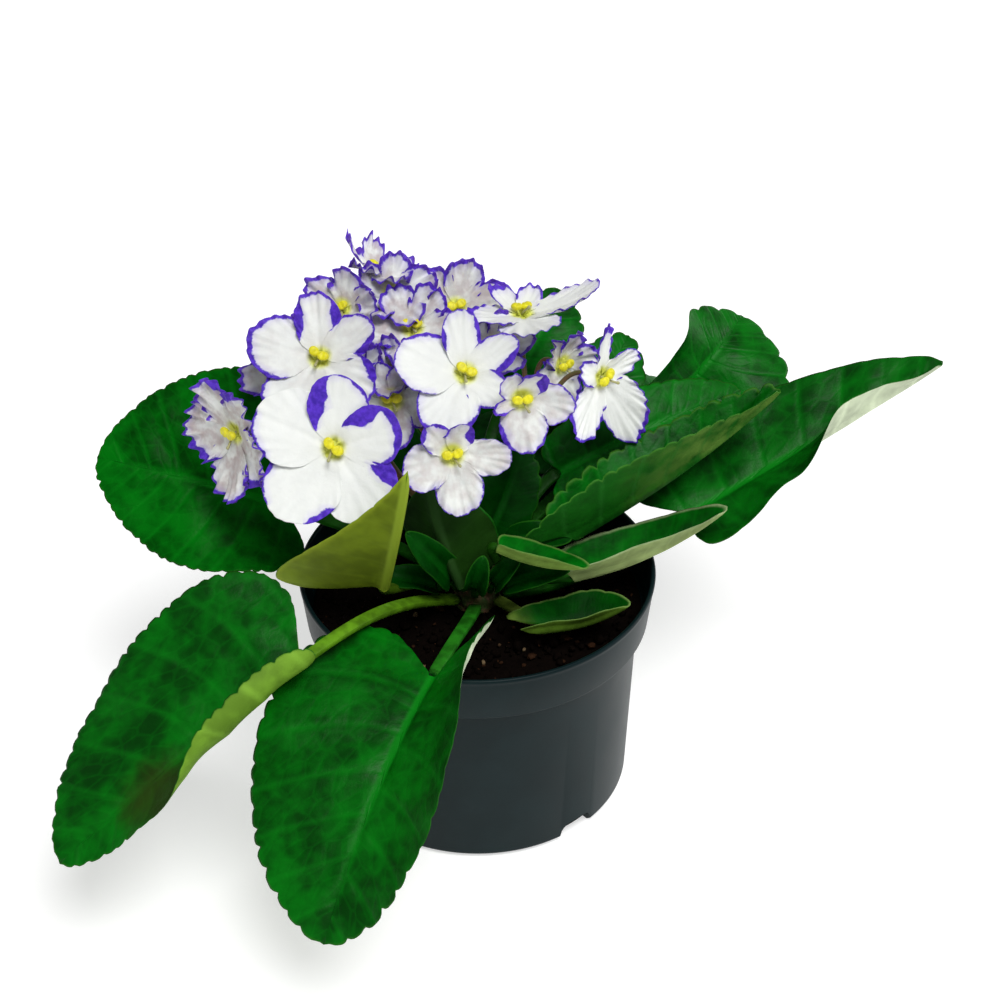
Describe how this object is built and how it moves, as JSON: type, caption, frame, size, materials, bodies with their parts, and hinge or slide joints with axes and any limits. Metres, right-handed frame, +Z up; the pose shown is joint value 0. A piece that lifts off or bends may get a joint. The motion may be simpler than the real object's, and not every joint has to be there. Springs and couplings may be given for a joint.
{
  "type": "potted african violet",
  "caption": "African violet in bloom, with crinkled oval leaves and a cluster of white flowers edged with purple, growing in a dark round plastic nursery pot.",
  "frame": {"origin": "middle of the pot's underside, on the surface that it stands on", "axes": "+Z up, -Y towards the front of the plant, +X to its right as seen from the front"},
  "size_m": [0.2681, 0.2364, 0.1647],
  "materials": {
    "pot_plastic": "thin blue-black moulded plastic, satin with a soft sheen",
    "soil": "damp dark peat with fine brown and pale bits",
    "stem": "fleshy brown-green stems with fine down",
    "leaf": "fleshy deep green leaves, quilted between the veins, satin, with pale green undersides",
    "petal": "soft white petals with frilled violet-blue margins",
    "anther": "bright yellow, powdery"
  },
  "bodies": {
    "root": {"pot": "pot_plastic", "potting_soil": "soil", "crown": "stem", "leaf_left": "leaf", "leaf_front_left": "leaf", "leaf_front": "leaf", "leaf_small_left": "leaf", "leaf_small_front": "leaf", "leaf_small_centre": "leaf", "leaf_small_right": "leaf", "leaf_small_inner": "leaf", "leaf_small_front_right": "leaf", "leaf_right": "leaf", "leaf_right_upper": "leaf", "leaf_far_right": "leaf", "leaf_back_right": "leaf", "leaf_back_small": "leaf", "leaf_back": "leaf", "leaf_rear_left": "leaf", "leaf_rear": "leaf", "leaf_rear_right": "leaf", "flower_stalk_left": "stem", "flower_stalk_front": "stem", "flower_stalk_right": "stem", "flower_stalk_back": "stem", "corolla_01": "petal", "corolla_02": "petal", "corolla_03": "petal", "corolla_04": "petal", "corolla_05": "petal", "corolla_06": "petal", "corolla_07": "petal", "corolla_08": "petal", "corolla_09": "petal", "corolla_10": "petal", "corolla_11": "petal", "corolla_12": "petal", "corolla_13": "petal", "corolla_14": "petal", "corolla_15": "petal", "corolla_16": "petal", "corolla_17": "petal", "stamens_01": "anther", "stamens_02": "anther", "stamens_03": "anther", "stamens_04": "anther", "stamens_05": "anther", "stamens_06": "anther", "stamens_07": "anther", "stamens_08": "anther", "stamens_09": "anther", "stamens_10": "anther", "stamens_11": "anther", "stamens_12": "anther", "stamens_13": "anther", "stamens_14": "anther", "stamens_15": "anther", "stamens_16": "anther", "stamens_17": "anther"}
  },
  "joints": []
}
